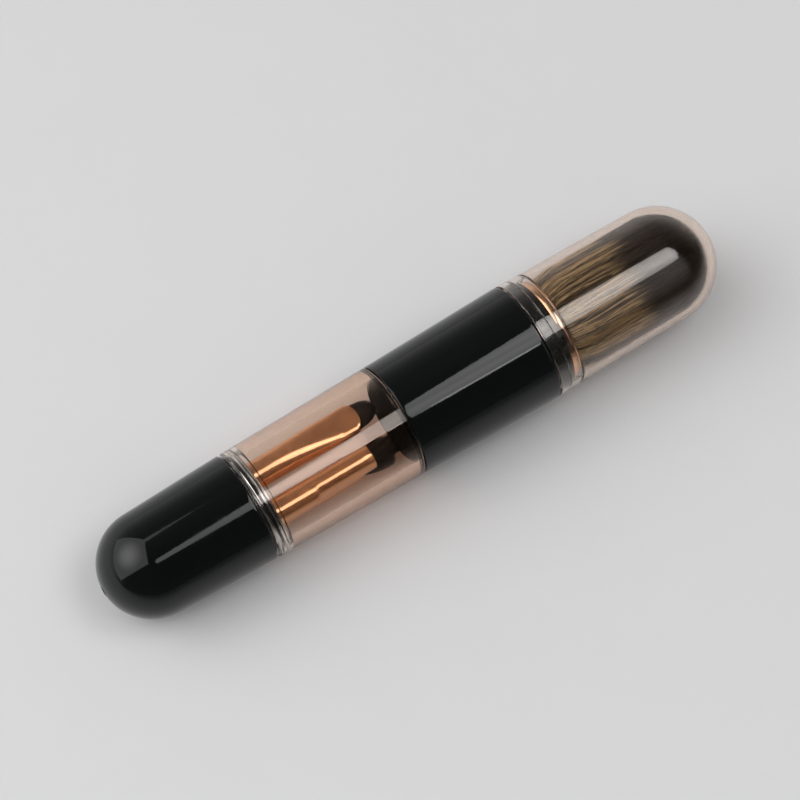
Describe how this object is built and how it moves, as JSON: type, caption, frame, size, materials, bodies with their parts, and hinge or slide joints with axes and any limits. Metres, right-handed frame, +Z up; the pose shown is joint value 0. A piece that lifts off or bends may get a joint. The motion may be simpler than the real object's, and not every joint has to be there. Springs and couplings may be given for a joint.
{
  "type": "portable makeup brush",
  "caption": "Pocket makeup brush: powder brush under a clear domed cap on a black handle tube, with small brushes in a clear chamber closed by a domed screw base.",
  "frame": {"origin": "on the table under the middle of the brush's box, with the brush lying on its side", "axes": "+X along the brush from the black base to the clear dome cap, +Z up"},
  "size_m": [0.145, 0.0258, 0.0259],
  "materials": {
    "base_cap": "gloss black",
    "brush_holder": "gloss black",
    "eyeshadow_brush_grip": "gloss black",
    "eyeshadow_brush_ferrule": "rose gold anodised, polished",
    "eyeshadow_brush_tuft": "dark brown synthetic hair",
    "lip_brush_grip": "gloss black",
    "lip_brush_ferrule": "rose gold anodised, polished",
    "lip_brush_tuft": "dark brown synthetic hair",
    "blending_brush_grip": "gloss black",
    "blending_brush_ferrule": "rose gold anodised, polished",
    "blending_brush_tuft": "dark brown synthetic hair",
    "chamber_tube": "clear, smoked pink-brown",
    "handle_plug": "satin black",
    "handle_tube": "gloss black",
    "brush_core": "satin black",
    "collar_ring": "clear, smoked pink-brown",
    "powder_ferrule": "rose gold anodised, polished",
    "powder_hair": "tan hair with dark brown tips",
    "dome_cap": "clear, smoked pink-brown"
  },
  "bodies": {
    "handle": {"chamber_tube": "chamber_tube", "handle_plug": "handle_plug", "handle_tube": "handle_tube", "brush_core": "brush_core", "collar_ring": "collar_ring", "powder_ferrule": "powder_ferrule", "powder_hair": "powder_hair"},
    "base": {"base_cap": "base_cap", "brush_holder": "brush_holder"},
    "eyeshadow_brush": {"eyeshadow_brush_grip": "eyeshadow_brush_grip", "eyeshadow_brush_ferrule": "eyeshadow_brush_ferrule", "eyeshadow_brush_tuft": "eyeshadow_brush_tuft"},
    "lip_brush": {"lip_brush_grip": "lip_brush_grip", "lip_brush_ferrule": "lip_brush_ferrule", "lip_brush_tuft": "lip_brush_tuft"},
    "blending_brush": {"blending_brush_grip": "blending_brush_grip", "blending_brush_ferrule": "blending_brush_ferrule", "blending_brush_tuft": "blending_brush_tuft"},
    "cap": {"dome_cap": "dome_cap"}
  },
  "joints": [
    {"name": "base_pull", "type": "slide", "parent": "handle", "child": "base", "axis": [-1, 0, 0], "range_m": [0, 0.075]},
    {"name": "cap_pull", "type": "slide", "parent": "handle", "child": "cap", "axis": [1, 0, 0], "range_m": [0, 0.045]},
    {"name": "eyeshadow_brush_pull", "type": "slide", "parent": "base", "child": "eyeshadow_brush", "axis": [1, 0, 0], "range_m": [0, 0.03]},
    {"name": "lip_brush_pull", "type": "slide", "parent": "base", "child": "lip_brush", "axis": [1, 0, 0], "range_m": [0, 0.03]},
    {"name": "blending_brush_pull", "type": "slide", "parent": "base", "child": "blending_brush", "axis": [1, 0, 0], "range_m": [0, 0.03]}
  ],
  "couplings": [
    {"joint": "eyeshadow_brush_pull", "follows": "base_pull", "ratio": 0.4},
    {"joint": "lip_brush_pull", "follows": "base_pull", "ratio": 0.4},
    {"joint": "blending_brush_pull", "follows": "base_pull", "ratio": 0.4}
  ]
}
